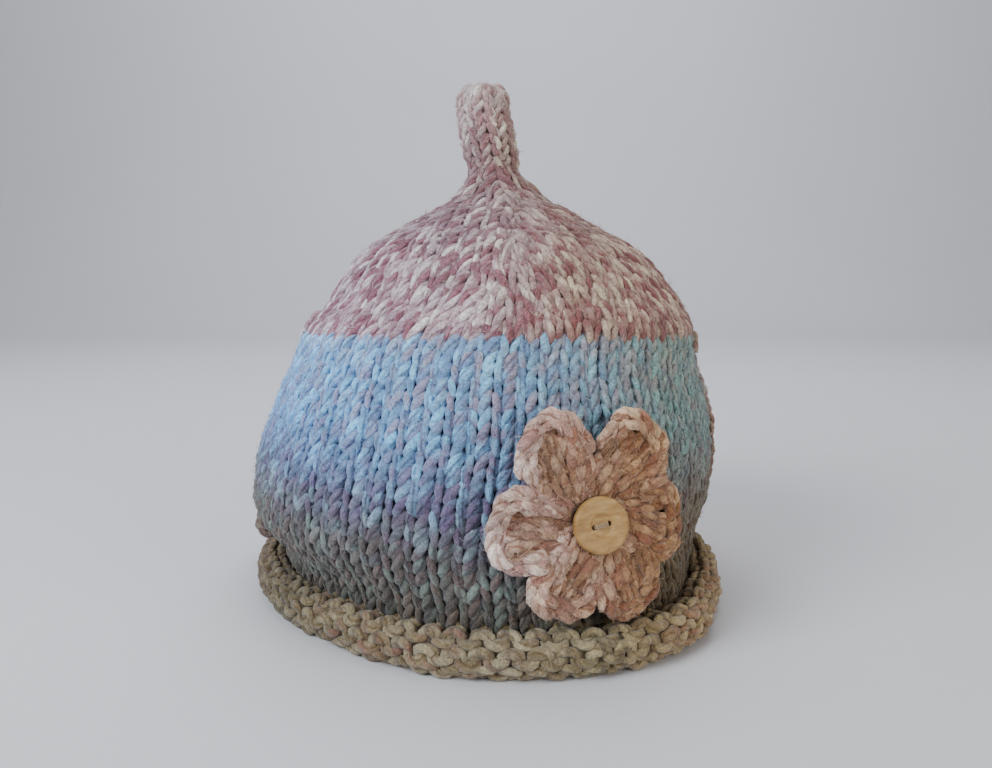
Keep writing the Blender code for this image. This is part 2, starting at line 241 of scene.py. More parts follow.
# The knitting plan: where each row lies, and the azimuth of each of its stitches
def rowPlaces():
    fine = np.linspace(0, stalkEnds, 4000)
    points = clothPoint(np.full_like(fine, -90.0), fine)
    length = lengthsAlong(points)
    zones = [(0, rollEnds, knitting["rollRows"]), (rollEnds, bodyEnds, knitting["bodyRows"]),
             (bodyEnds, crownEnds, len(knitting["crownGores"])),
             (crownEnds, stalkEnds, knitting["stalkRows"])]
    edges = []
    for low, high, count in zones:
        ends = np.interp([low, high], fine, length)
        lengths = np.linspace(ends[0], ends[1], count, endpoint=False)
        edges.extend(np.interp(lengths, length, fine))
        print(f"  {count} rows of {(ends[1] - ends[0]) / count:.2f} mm")
    edges.append(stalkEnds)
    return np.array(edges)


def stitchPlan():
    # for each row: azimuths of its stitches, and which stitch of the next row each one meets
    gores = knitting["gores"]
    full = knitting["columns"] // gores
    perGore = [full] * (knitting["rollRows"] + knitting["bodyRows"])
    perGore += knitting["crownGores"] + [1] * knitting["stalkRows"]
    rows, meets = [], []
    for row, count in enumerate(perGore):
        if count == full:
            k = np.arange(knitting["columns"])
            rows.append(knitting["firstAzimuth"] + 360.0 / knitting["columns"] * (k + 0.5))
        else:
            k = np.arange(count * gores)
            rows.append(knitting["firstAzimuth"] + knitting["goresFrom"]
                        + 360.0 / (count * gores) * (k + 0.5))
    for row in range(len(rows) - 1):
        here, there = perGore[row], perGore[row + 1]
        k = np.arange(here * gores)
        gore, spot = k // here, k % here
        if here == there:
            met = k
        elif row % 2:
            met = gore * there + np.minimum(spot, there - 1)
        else:
            met = gore * there + np.maximum(spot - (here - there), 0)
        if here == full and there != full:
            # the first decreases start at the front's middle line
            shift = int(round(knitting["goresFrom"] / (360.0 / knitting["columns"])))
            moved = (k - shift) % knitting["columns"]
            met = (moved // here) * there + np.minimum(moved % here, there - 1)
        meets.append(met)
    meets.append(np.arange(len(rows[-1])))
    return rows, meets


def wrapped(angle):
    return (angle + 180.0) % 360.0 - 180.0


def relaxPlan(rows, meets, firstFree, rounds=60, evenPull=0.30, rowPull=0.22):
    # lets the shaped rows settle, so that columns run smoothly into each other
    for _ in range(rounds):
        for row in range(firstFree, len(rows)):
            here = rows[row]
            ahead = rows[row][(np.arange(len(here)) + 1) % len(here)]
            behind = rows[row][np.arange(len(here)) - 1]
            even = (wrapped(ahead - here) + wrapped(behind - here)) / 2
            below = np.zeros(len(here))
            count = np.zeros(len(here))
            np.add.at(below, meets[row - 1], wrapped(rows[row - 1] - here[meets[row - 1]]))
            np.add.at(count, meets[row - 1], 1)
            below = below / np.maximum(count, 1)
            above = np.zeros(len(here))
            if row + 1 < len(rows):
                above = wrapped(rows[row + 1][meets[row]] - here)
            rows[row] = here + evenPull * even + rowPull * below + rowPull * above
    return rows


def rowLean(rows, meets, row):
    # how far each stitch's head and foot lie to the side of it, in degrees
    up = np.zeros(len(rows[row]))
    if row + 1 < len(rows):
        up = wrapped(rows[row + 1][meets[row]] - rows[row])
    down = np.zeros(len(rows[row]))
    if row:
        count = np.zeros(len(rows[row]))
        away = wrapped(rows[row][meets[row - 1]] - rows[row - 1])
        np.add.at(down, meets[row - 1], away)
        np.add.at(count, meets[row - 1], 1)
        down = down / np.maximum(count, 1)
    return up, down


def around(values, spots, angular=False):
    # values given at the middles of a row's stitches, read at any spots along the row
    count = len(values)
    spots = spots - 0.5
    low = np.floor(spots).astype(int)
    share = spots - low
    a, b = values[low % count], values[(low + 1) % count]
    if angular:
        return a + wrapped(b - a) * share
    return a + (b - a) * share


rowEdges = rowPlaces()
stitchRows, stitchMeets = stitchPlan()
firstCrownRow = knitting["rollRows"] + knitting["bodyRows"]
stitchRows = relaxPlan(stitchRows, stitchMeets, firstCrownRow + 1)
print("stitches:", sum(len(row) for row in stitchRows))


def placeOfRow(level):
    return np.interp(level, np.arange(len(rowEdges)), rowEdges)


def rowOfYarn(row, first=None, last=None, panel="round", knitting=knitting):
    # one row of loops between two column edges, as points with the cloth's normals
    azimuths = stitchRows[row]
    count = len(azimuths)
    first, last = (0, count) if first is None else (first, last)
    stitches, samples = last - first, knitting["samples"]
    dice = np.random.default_rng(1000 + row * 7 + (panel == "back"))
    tau = np.arange(stitches * samples + (panel != "round")) / samples * 2 * np.pi
    t = tau + knitting["warp"] * np.sin(2 * tau)
    stitch = np.minimum((tau / (2 * np.pi)).astype(int), stitches - 1)
    window = (1 - np.cos(t)) / 2
    middle = around(azimuths, first + t / (2 * np.pi), angular=True)
    # the legs are uneven on the left, and nearly a pair on the right
    side, spine = 0.25 + 0.75 * ease((-72 - wrapped(middle)) / 30), np.zeros(len(t))
    if row >= firstCrownRow:
        # above the body the fat legs change sides at the middle lines
        side = np.clip(-np.cos(np.radians(middle)) * 9, -1, 1)
        fromSpine = wrapped(middle - knitting["spine"]) * count / 360.0
        spine = np.exp(-(fromSpine / 0.55) ** 2)

    def jitter(size):
        return dice.normal(0, size, stitches)[stitch] * window

    uneven = knitting["uneven"]
    height = knitting["loopHeight"] * (1 + jitter(uneven["height"]))
    level = -height * np.cos(t) + jitter(uneven["level"])
    swing = knitting["loopWaist"] * (1 + jitter(uneven["swing"]))
    spot = first + t / (2 * np.pi) + swing * np.sin(2 * t)
    spot = spot + knitting["lean"] * side * level + jitter(uneven["across"])
    up, down = rowLean(stitchRows, stitchMeets, row)
    azimuth = around(azimuths, spot, angular=True)
    azimuth = azimuth + np.maximum(level, 0) * around(up, spot)
    azimuth = azimuth + np.minimum(level, 0) * around(down, spot)
    place = np.clip(placeOfRow(row + 0.5 + level), 0, stalkEnds)
    depth = -knitting["loopDepth"] * np.cos(2 * t) + jitter(knitting["depthJitter"]) + 0.9 * spine
    left, right = np.maximum(np.sin(t), 0) ** 2, np.maximum(-np.sin(t), 0) ** 2
    both = (knitting["rightLeg"] + knitting["leftLeg"]) / 2
    apart = (knitting["rightLeg"] - knitting["leftLeg"]) / 2 * side
    fat = 1 + (both - apart) * left + (both + apart) * right + jitter(uneven["fat"]) + 0.12 * spine
    return {"azimuth": azimuth, "place": place, "depth": depth, "fat": fat,
            "seed": dice.uniform(0, 1, stitches)[stitch]}


def placeRow(run, panel="round"):
    # from cloth coordinates to points in mm
    run["normals"] = clothNormal(run["azimuth"], run["place"], panel)
    run["points"] = clothPoint(run["azimuth"], run["place"], panel)
    run["points"] = run["points"] + run["normals"] * run["depth"][:, None]
    return run


def edgeTurn(before, after, outwards):
    # the small loop of yarn at a panel's edge, from one row to the next
    share = np.linspace(0, 1, 7)[1:-1]
    swell = np.sin(np.pi * share)
    run = {}
    for key in ("azimuth", "place", "depth", "fat", "seed"):
        run[key] = before[key][-1] + (after[key][0] - before[key][-1]) * share
    run["azimuth"] = run["azimuth"] + outwards * 1.3 * swell
    run["depth"] = run["depth"] + 1.3 * swell
    return run


def joined(runs):
    return {key: np.concatenate([run[key] for run in runs]) for key in runs[0]}


def backwards(run):
    return {key: values[::-1] for key, values in run.items()}


def panelYarn(panel, firstRow, lastRow):
    # a panel is knitted to and fro, so its yarn is one strand from bottom to top
    half = knitting["columns"] // 2
    first, last = (half, 2 * half) if panel == "front" else (0, half)
    runs = []
    for row in range(firstRow, lastRow):
        run = rowOfYarn(row, first, last, panel)
        forwards = (row - firstRow) % 2 == 0
        run = run if forwards else backwards(run)
        if runs:
            runs.append(edgeTurn(runs[-1], run, -1.0 if forwards else 1.0))
        runs.append(run)
    return placeRow(joined(runs), panel)


def yarnTube(run, closed, width, depth, pitch, lobes, sides):
    # vertices, side faces and their yarn coordinates for one strand of two-ply yarn
    points, normals = run["points"], run["normals"]
    if closed:
        ahead, behind = np.roll(points, -1, axis=0), np.roll(points, 1, axis=0)
    else:
        ahead = np.vstack([points[1:], points[-1:]])
        behind = np.vstack([points[:1], points[:-1]])
    along = ahead - behind
    along = along / np.maximum(norms(along), 1e-9)
    out = normals - along * np.sum(normals * along, axis=1)[:, None]
    out = out / np.maximum(norms(out), 1e-6)
    across = np.cross(along, out)
    length = lengthsAlong(points)
    total = length[-1] + (np.linalg.norm(points[0] - points[-1]) if closed else 0)
    turns = max(round(total / pitch), 1) if closed else total / pitch
    twist = 2 * np.pi * turns * length / total
    corner = 2 * np.pi * np.arange(sides) / sides
    swell = 1 + lobes * np.cos(2 * (corner[None, :] - twist[:, None]))
    swell = swell * run["fat"][:, None]
    offset = (out[:, None, :] * (np.cos(corner)[None, :] * swell * depth)[:, :, None]
              + across[:, None, :] * (np.sin(corner)[None, :] * swell * width)[:, :, None])
    verts = (points[:, None, :] + offset).reshape(-1, 3)
    count = len(points)
    ring = np.arange(count if closed else count - 1)
    nextRing = (ring + 1) % count
    side = np.arange(sides)
    nextSide = (side + 1) % sides
    faces = np.stack([
        ring[:, None] * sides + side[None, :], ring[:, None] * sides + nextSide[None, :],
        nextRing[:, None] * sides + nextSide[None, :], nextRing[:, None] * sides + side[None, :],
    ], axis=2).reshape(-1, 4)
    lengthAhead = np.append(length[1:], total) if closed else length[1:]
    twistAhead = np.append(twist[1:], 2 * np.pi * turns) if closed else twist[1:]
    lowTurn = (corner[None, :] - twist[:len(ring), None]) / (2 * np.pi)
    highTurn = (corner[None, :] - twistAhead[:, None]) / (2 * np.pi)
    one = 1.0 / sides
    lowAlong = np.repeat(length[:len(ring), None], sides, axis=1)
    highAlong = np.repeat(lengthAhead[:, None], sides, axis=1)
    uv = np.stack([
        np.stack([lowTurn, lowAlong], axis=2), np.stack([lowTurn + one, lowAlong], axis=2),
        np.stack([highTurn + one, highAlong], axis=2), np.stack([highTurn, highAlong], axis=2),
    ], axis=2).reshape(-1, 4, 2)
    tone = np.stack([run["stage"], run["seed"], run["shade"]], axis=1)
    return verts, faces, uv, np.repeat(tone, sides, axis=0), not closed


def setStrand(mesh, uv, tones):
    # the yarn coordinates and tones that the yarn's material reads
    layer = mesh.uv_layers.new(name="strand")
    layer.data.foreach_set("uv", uv.astype(np.float32).ravel())
    tone = mesh.attributes.new("tone", "FLOAT_VECTOR", "POINT")
    tone.data.foreach_set("vector", tones.astype(np.float32).ravel())


def linkPiece(name, mesh, material):
    mesh.validate()
    mesh.polygons.foreach_set("use_smooth", np.ones(len(mesh.polygons), bool))
    mesh.materials.append(material)
    piece = bpy.data.objects.new(name, mesh)
    bpy.context.scene.collection.objects.link(piece)
    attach(piece, "root")
    return piece


def yarnPiece(name, runs, material, closed, look):
    # all strands of a piece, joined into one mesh
    allVerts, allFaces, allUv, allTones, caps, base = [], [], [], [], [], 0
    sides = look["sides"]
    for run in runs:
        verts, faces, uv, tones, openEnded = yarnTube(
            run, closed, look["yarnWidth"], look["yarnDepth"], look["twistPitch"],
            look["lobes"], sides)
        allVerts.append(verts)
        allFaces.append(faces + base)
        allUv.append(uv)
        allTones.append(tones)
        if openEnded:
            caps.append(np.arange(sides)[::-1] + base)
            caps.append(np.arange(sides) + base + len(verts) - sides)
        base += len(verts)
    verts = np.concatenate(allVerts)
    verts[:, 2] = np.maximum(verts[:, 2], 0.05)    # flat where it rests
    faces, uv = np.concatenate(allFaces), np.concatenate(allUv)
    tones = np.concatenate(allTones)
    mesh = bpy.data.meshes.new(name)
    mesh.vertices.add(len(verts))
    mesh.vertices.foreach_set("co", (verts * mm).astype(np.float32).ravel())
    loops = faces.ravel()
    starts = np.arange(len(faces)) * 4
    totals = np.full(len(faces), 4)
    if caps:
        caps = np.array(caps)
        starts = np.concatenate([starts, len(loops) + np.arange(len(caps)) * sides])
        totals = np.concatenate([totals, np.full(len(caps), sides)])
        loops = np.concatenate([loops, caps.ravel()])
        uv = np.concatenate([uv.reshape(-1, 2), np.zeros((caps.size, 2))])
    mesh.loops.add(len(loops))
    mesh.loops.foreach_set("vertex_index", loops.astype(np.int32))
    mesh.polygons.add(len(starts))
    mesh.polygons.foreach_set("loop_start", starts.astype(np.int32))
    mesh.polygons.foreach_set("loop_total", totals.astype(np.int32))
    setStrand(mesh, uv, tones)
    mesh.update(calc_edges=True)
    print(f"  {name}: {len(runs)} strands, {sum(totals - 2)} triangles")
    return linkPiece(name, mesh, material)


# Shader maths as Python expressions
class Wire:
    def __init__(self, desk, socket):
        self.desk, self.socket = desk, socket

    def other(self, number):
        # another output of the same node
        return Wire(self.desk, self.socket.node.outputs[number])

    def math(self, operation, *others, swap=False):
        values = [self, *others]
        values = values[::-1] if swap else values
        return self.desk.node("ShaderNodeMath", {"operation": operation},
                              dict(enumerate(values)))

    def __add__(self, other):
        return self.math("ADD", other)

    def __sub__(self, other):
        return self.math("SUBTRACT", other)

    def __rsub__(self, other):
        return self.math("SUBTRACT", other, swap=True)

    def __mul__(self, other):
        return self.math("MULTIPLY", other)

    __radd__ = __add__
    __rmul__ = __mul__


class Desk:
    # one material's node tree
    def __init__(self, name):
        self.material = bpy.data.materials.new(name)
        self.material.use_nodes = True
        self.tree = self.material.node_tree
        self.shader = self.tree.nodes["Principled BSDF"]

    def node(self, kind, settings=None, inputs=None, output=0):
        made = self.tree.nodes.new(kind)
        for key, value in (settings or {}).items():
            if key == "stops":
                self.fillRamp(made.color_ramp, value)
            else:
                setattr(made, key, value)
        for key, value in (inputs or {}).items():
            if isinstance(value, Wire):
                self.tree.links.new(value.socket, made.inputs[key])
            else:
                made.inputs[key].default_value = value
        return Wire(self, made.outputs[output])

    def fillRamp(self, ramp, stops):
        while len(ramp.elements) > 1:
            ramp.elements.remove(ramp.elements[0])
        for place, (spot, colour) in enumerate(stops):
            element = ramp.elements[0] if place == 0 else ramp.elements.new(spot)
            element.position = spot
            element.color = (*colour, 1.0)

    def mix(self, factor, first, second, blend="MIX"):
        return self.node("ShaderNodeMix", {"data_type": "RGBA", "blend_type": blend},
                         {0: factor, 6: first, 7: second}, 2)

    def ramp(self, factor, stops):
        return self.node("ShaderNodeValToRGB", {"stops": stops}, {"Fac": factor})

    def spread(self, value, low, high, toLow=0.0, toHigh=1.0):
        return self.node("ShaderNodeMapRange", {"clamp": True}, {
            "Value": value, "From Min": low, "From Max": high,
            "To Min": toLow, "To Max": toHigh})

    def noise(self, vector, scale, detail, **more):
        return self.node("ShaderNodeTexNoise", {}, {
            "Vector": vector, "Scale": scale, "Detail": detail, **more})

    def shaded(self, colour, light):
        grey = self.node("ShaderNodeCombineColor", {}, {0: light, 1: light, 2: light})
        return self.mix(1.0, colour, grey, "MULTIPLY")

    def bump(self, height, strength, distance):
        self.feed("Normal", self.node("ShaderNodeBump", {}, {
            "Strength": strength, "Distance": distance * mm, "Height": height}))

    def feed(self, socket, wire):
        self.tree.links.new(wire.socket, self.shader.inputs[socket])

    def fix(self, **values):
        for name, value in values.items():
            self.shader.inputs[name.replace("_", " ")].default_value = value


def tint(red, green, blue):
    # a colour as a paint chart gives it, made linear
    def linear(value):
        value = value / 255.0
        return value / 12.92 if value <= 0.04045 else ((value + 0.055) / 1.055) ** 2.4
    return (linear(red), linear(green), linear(blue))


def yarnMaterial(name, look):
    # two plies, each with its own colours along the yarn, twisted and slightly hairy; painted light and
    # shade tint it across the cosy, and painted shade darkens the grooves between the plies
    desk = Desk(name)
    strand = desk.node("ShaderNodeUVMap", {"uv_map": "strand"})
    turn = desk.node("ShaderNodeSeparateXYZ", {}, {0: strand})
    along = turn.other(1)
    tone = desk.node("ShaderNodeAttribute", {"attribute_name": "tone"}, {}, "Vector")
    stage = desk.node("ShaderNodeSeparateXYZ", {}, {0: tone})
    seed, shade = stage.other(1), stage.other(2)
    place = desk.node("ShaderNodeTexCoord", {}, {}, "Object")
    wave = (turn * (2 * math.pi)).math("COSINE")
    crosswave = (turn * (2 * math.pi)).math("SINE")
    ply = desk.spread(wave, -0.6, 0.6)
    groove = desk.spread(wave.math("ABSOLUTE"), 0.0, 0.5)

    def noise(x, y, z, detail=2.0):
        spot = desk.node("ShaderNodeCombineXYZ", {}, {0: x, 1: y, 2: z})
        return desk.noise(spot, 1.0, detail, Roughness=0.55)

    stray = seed * look["strayBetweenStitches"]
    spot = stage + (noise(along * 0.02, stray, 41.0) - 0.5) * look["stageStray"]
    sideways = desk.node("ShaderNodeSeparateXYZ", {}, {0: place})
    # where the painted light falls, in shares towards the right and towards the left; there the flecks
    # and accents are painted calmer too, as colour looks in haze and in shade
    rightLightShare = desk.spread(sideways, *look["rightReach"])
    leftLightShare = desk.spread(sideways, 0.0, -0.075) * desk.spread(stage, *look["leftStages"])
    calm = 1 - rightLightShare * look["rightCalm"] - leftLightShare * look["leftCalm"]
    plies = []
    for side in (3.1, 17.7):
        fleck = desk.spread(noise(along * look["fleckEvery"], stray + side, side), 0.42, 0.60) * calm
        accent = desk.spread(noise(along * look["accentEvery"], stray - side, side * 2),
                             look["accentFrom"] - 0.03, look["accentFrom"] + 0.13) * calm
        colour = desk.mix(fleck, desk.ramp(spot, look["base"]), desk.ramp(spot, look["fleck"]))
        plies.append(desk.mix(accent, colour, desk.ramp(spot, look["accent"])))
    colour = desk.mix(ply, plies[1], plies[0])
    # painted light across the cosy: the yarn is tinted as if lit cool from the left and warm from the
    # right, lighter or darker for each yarn
    for share, shading in ((rightLightShare, look["rightPaintedLight"]), (leftLightShare, look["leftPaintedLight"])):
        colour = desk.mix(share, colour, desk.mix(1.0, colour, (*shading, 1.0), "MULTIPLY"))
    # painted shade: the yarn is darkened and tinted in the grooves between its plies
    colour = desk.mix(groove, desk.mix(1.0, colour, (*look["groovePaintedShade"], 1.0), "MULTIPLY"), colour)
    # fibres run along each ply, in tufts that catch the light unevenly
    fibre = noise(wave * 4.2, crosswave * 4.2, along * 0.3 + seed * 30.0, 3.0)
    tuft = noise(wave * 1.5 + along * 0.25, crosswave * 1.5, along * 0.85 + seed * 30.0, 3.0)
    hair = desk.noise(place, 1500.0, 2.0, Roughness=0.6)
    patch = desk.noise(place, 85.0, 2.0, Roughness=0.5)
    light = desk.spread(fibre, 0.28, 0.72, 0.90, 1.10) * desk.spread(tuft, 0.3, 0.7, 0.70, 1.28)
    light = light * desk.spread(hair, 0.3, 0.7, 0.74, 1.26)
    light = light * desk.spread(patch, 0.3, 0.7, 0.90, 1.10)
    desk.feed("Base Color", desk.shaded(colour, light * shade))
    relief = groove * 0.4 + tuft * 1.2 + fibre * 0.25 + hair * 0.6
    desk.bump(relief, 1.0, look["relief"])
    desk.fix(Roughness=1.0, Sheen_Weight=look["sheen"], Sheen_Roughness=0.5,
             Specular_IOR_Level=0.12)
    desk.shader.inputs["Sheen Tint"].default_value = (*look["sheenTint"], 1.0)
    return desk.material


# each yarn: colours by stage, from the bottom of its piece (0) to the top (1); the right and left tints
# are painted light and shade across the cosy, the groove tint is painted shade between the plies
yarnLooks = {
    "hem": {
        "base": [(0.0, tint(130, 115, 88)), (0.5, tint(119, 109, 86)),
                 (1.0, tint(132, 115, 94))],
        "fleck": [(0.0, tint(164, 152, 124)), (0.5, tint(158, 149, 124)),
                  (1.0, tint(168, 154, 130))],
        "accent": [(0.0, tint(136, 104, 88)), (0.5, tint(106, 104, 86)),
                   (1.0, tint(142, 110, 98))],
        "rightPaintedLight": (1.15, 1.04, 0.78),
        "leftPaintedLight": (0.64, 0.60, 0.53),
        "groovePaintedShade": (0.60, 0.54, 0.46),
    },
    "front": {
        # the lowest stops of these ramps are the yarn's grey-brown, darkened further as painted shade
        # where the wall dips into the roll
        "base": [(0.0, tint(76, 73, 68)), (0.2, tint(88, 84, 84)), (0.34, tint(94, 95, 108)),
                 (0.5, tint(100, 118, 148)), (0.62, tint(104, 136, 172)),
                 (0.85, tint(110, 144, 186)), (1.0, tint(118, 152, 192))],
        "fleck": [(0.0, tint(104, 111, 102)), (0.2, tint(122, 136, 132)),
                  (0.34, tint(134, 152, 164)), (0.5, tint(134, 178, 214)),
                  (0.62, tint(128, 204, 246)), (0.85, tint(144, 214, 250)),
                  (1.0, tint(154, 214, 248))],
        "accent": [(0.0, tint(102, 91, 83)), (0.2, tint(108, 95, 94)),
                   (0.34, tint(108, 94, 116)), (0.42, tint(104, 90, 122)),
                   (0.52, tint(124, 114, 146)), (0.62, tint(140, 136, 166)),
                   (0.85, tint(156, 150, 174)), (1.0, tint(166, 158, 174))],
        "rightPaintedLight": (1.14, 0.90, 0.54),
        "rightReach": (0.008, 0.062),
        "rightCalm": 0.55,
        "leftPaintedLight": (1.10, 1.28, 1.44),
        "leftCalm": 0.25,
        "leftStages": (0.12, 0.5),
        "accentFrom": 0.47,
    },
    "back": {
        "base": [(0.0, tint(112, 106, 96)), (0.3, tint(136, 116, 104)),
                 (0.6, tint(150, 122, 112)), (1.0, tint(132, 144, 164))],
        "fleck": [(0.0, tint(132, 134, 118)), (0.3, tint(164, 144, 128)),
                  (0.6, tint(178, 156, 144)), (1.0, tint(160, 190, 208))],
        "accent": [(0.0, tint(104, 92, 90)), (0.3, tint(122, 92, 86)),
                   (0.6, tint(136, 98, 96)), (1.0, tint(120, 110, 140))],
        "rightPaintedLight": (1.0, 0.94, 0.84),
        "leftPaintedLight": (0.94, 0.96, 1.0),
    },
    "crown": {
        "base": [(0.0, tint(184, 160, 172)), (0.25, tint(198, 182, 190)),
                 (0.45, tint(162, 138, 150)), (0.64, tint(166, 144, 146)),
                 (0.75, tint(186, 168, 168)), (1.0, tint(212, 204, 204))],
        "fleck": [(0.0, tint(228, 220, 220)), (0.25, tint(234, 228, 224)),
                  (0.45, tint(204, 190, 192)), (0.7, tint(210, 198, 188)),
                  (1.0, tint(244, 240, 234))],
        "accent": [(0.0, tint(148, 98, 110)), (0.25, tint(150, 102, 114)),
                   (0.45, tint(130, 90, 100)), (0.7, tint(146, 106, 110)),
                   (1.0, tint(192, 160, 160))],
        "rightPaintedLight": (0.80, 0.70, 0.52),
        "rightReach": (-0.005, 0.03),
        "leftPaintedLight": (1.02, 1.04, 1.18),
        "groovePaintedShade": (0.62, 0.50, 0.54),
        "accentFrom": 0.45,
        "fleckEvery": 0.08,
        "accentEvery": 0.075,
    },
    "flower": {
        "base": [(0.0, tint(152, 117, 92)), (0.5, tint(166, 135, 117)),
                 (1.0, tint(192, 163, 155))],
        "fleck": [(0.0, tint(194, 160, 132)), (0.5, tint(212, 182, 162)),
                  (1.0, tint(234, 214, 206))],
        "accent": [(0.0, tint(132, 92, 74)), (0.5, tint(156, 112, 100)),
                   (1.0, tint(186, 144, 138))],
        "rightPaintedLight": (0.80, 0.66, 0.42),
        "groovePaintedShade": (0.56, 0.42, 0.34),
        "fleckEvery": 0.16,
        "accentEvery": 0.17,
    },
}
for name, look in yarnLooks.items():
    common = {"strayBetweenStitches": 2.0, "stageStray": 0.30, "relief": 0.8, "sheen": 0.3,
              "sheenTint": (0.9, 0.92, 0.96), "leftPaintedLight": (1.0, 1.0, 1.0),
              "groovePaintedShade": (0.52, 0.48, 0.56), "accentFrom": 0.53, "fleckEvery": 0.08,
              "accentEvery": 0.09, "rightReach": (0.008, 0.055), "rightCalm": 0.0,
              "leftCalm": 0.0, "leftStages": (-1.0, 0.0)}
    yarnLooks[name] = {**common, **look}

yarns = {name: yarnMaterial(name + "Yarn", look) for name, look in yarnLooks.items()}


def toned(run, stageOf):
    # the yarn's colour stage and a slight stitch-to-stitch difference in lightness
    run["stage"] = stageOf(run)
    run["shade"] = 1.0 + (run["seed"] - 0.5) * 0.16
    return run


# the heights between which the yarn runs through its stages
stageHeights = {"panels": (12, 104), "crown": (98, 200), "stalk": (96, 200)}


def heightShare(run, zone):
    low, high = stageHeights[zone]
    return np.clip((run["points"][:, 2] - low) / (high - low), 0, 1)


def frontStage(run):
    # the yarn turns grey a little higher up towards the left
    leftwards = np.clip(-run["points"][:, 0] / 80.0, 0, 1)
    share = heightShare(run, "panels")
    return np.clip(share - 0.17 * leftwards * (1 - share), 0, 1)


def joinStage(run):
    # the row above the slits matches the front panel, and turns duller round the back
    front = ease((0.25 - np.sin(np.radians(run["azimuth"] - knitting["firstAzimuth"]))) / 0.5)
    return 0.5 + (frontStage(run) - 0.5) * front


def fuzz(name, runs, look, material, count, seed):
    # stray fibres that stand off the yarn, each a hair-thin tapered tube
    dice = np.random.default_rng(seed)
    sizes = np.array([len(run["points"]) for run in runs])
    which = dice.choice(len(runs), count, p=sizes / sizes.sum())
    starts, outs, alongs, tones = [], [], [], []
    for number in range(count):
        run = runs[which[number]]
        spot = dice.integers(1, len(run["points"]) - 1)
        out = run["normals"][spot]
        way = run["points"][spot + 1] - run["points"][spot - 1]
        way = way / max(np.linalg.norm(way), 1e-6)
        across = np.cross(way, out)
        turn = dice.normal(0, 0.9)
        lift = out * math.cos(turn) + across * math.sin(turn)
        starts.append(run["points"][spot] + lift * look["yarnDepth"] * 0.9)
        outs.append(lift)
        alongs.append(way * dice.choice((-1, 1)))
        # each fibre is painted 1.4 times as light as its yarn: a painted highlight for the halo of
        # fibres catching the light
        tones.append((run["stage"][spot], run["seed"][spot], 1.4))
    starts, outs, alongs = np.array(starts), np.array(outs), np.array(alongs)
    length = dice.uniform(1.2, 3.6, count)[:, None]
    way = outs * dice.uniform(0.25, 0.9, count)[:, None] + alongs + dice.normal(0, 0.4, (count, 3))
    way /= norms(way)
    bend = dice.normal(0, 0.6, (count, 3)) - outs * 0.35
    first = np.cross(way, outs + 0.01)
    first /= np.maximum(norms(first), 1e-6)
    second = np.cross(way, first)
    verts = np.empty((count, 7, 3))
    for step, (share, radius) in enumerate(((0, 0.10), (0.5, 0.08))):
        middle = starts + way * length * share + bend * length * share**2 * 0.5
        for corner in range(3):
            angle = 2 * math.pi * corner / 3
            verts[:, step * 3 + corner] = middle + radius * (
                first * math.cos(angle) + second * math.sin(angle))
    verts[:, 6] = starts + way * length + bend * length * 0.5
    faces, ends = [], [(2, 1, 0)]
    for corner in range(3):
        after = (corner + 1) % 3
        faces.append((corner, after, 3 + after, 3 + corner))
        ends.append((3 + corner, 3 + after, 6))
    step = 7 * np.arange(count)[:, None, None]
    faces = (np.array(faces)[None] + step).reshape(-1, 4)
    ends = (np.array(ends)[None] + step).reshape(-1, 3)
    verts = verts.reshape(-1, 3)
    verts[:, 2] = np.maximum(verts[:, 2], 0.05)
    piece = simplePiece(name, verts, faces.tolist() + ends.tolist(), material)
    corners = np.empty(len(piece.data.loops), np.int32)
    piece.data.loops.foreach_get("vertex_index", corners)
    picked = dice.uniform(0, 1, (count, 2)) * (1, 200)
    setStrand(piece.data, picked[corners // 7], np.repeat(np.array(tones), 7, axis=0))
    print(f"  {name}: {count} fibres")
    return piece


def simplePiece(name, verts, faces, material):
    mesh = bpy.data.meshes.new(name)
    mesh.from_pydata([tuple(corner) for corner in np.asarray(verts) * mm], [], faces)
    return linkPiece(name, mesh, material)


print("knitting the cosy")
rollRows, bodyRows = knitting["rollRows"], knitting["bodyRows"]
rowHeights = np.interp(placeOfRow(np.arange(len(rowEdges)) + 0.5), finePlaces, fineLine[:, 2])
openRows = [row for row in range(rollRows, firstCrownRow)
            if slits[0]["low"] < rowHeights[row] < slits[0]["high"]]
firstOpen, lastOpen = openRows[0], openRows[-1] + 1
hemRuns = [toned(placeRow(rowOfYarn(row, knitting=hemKnitting)),
                 lambda run: 0.5 + 0.5 * np.sin(run["azimuth"] / 23.0))
           for row in range(0, rollRows)]
hem = yarnPiece("rolledHem", hemRuns, yarns["hem"], True, hemKnitting)
footRuns = [toned(placeRow(rowOfYarn(row)), frontStage)
            for row in range(rollRows, firstOpen)]
foot = yarnPiece("footRows", footRuns, yarns["front"], True, knitting)
frontRun = toned(panelYarn("front", firstOpen, lastOpen), frontStage)
front = yarnPiece("frontPanel", [frontRun], yarns["front"], False, knitting)
backRun = toned(panelYarn("back", firstOpen, lastOpen), lambda run: heightShare(run, "panels"))
back = yarnPiece("backPanel", [backRun], yarns["back"], False, knitting)
crownLast = firstCrownRow + len(knitting["crownGores"])
joinRun = toned(placeRow(rowOfYarn(lastOpen)), joinStage)
join = yarnPiece("joiningRow", [joinRun], yarns["front"], True, knitting)
crownRuns = [toned(placeRow(rowOfYarn(row, knitting=crownKnitting)),
                   lambda run: heightShare(run, "crown"))
             for row in range(lastOpen + 1, crownLast)]
crown = yarnPiece("crown", crownRuns, yarns["crown"], True, crownKnitting)
stalkRuns = [toned(placeRow(rowOfYarn(row, knitting=stalkKnitting)),
                   lambda run: heightShare(run, "stalk"))
             for row in range(crownLast, crownLast + knitting["stalkRows"])]
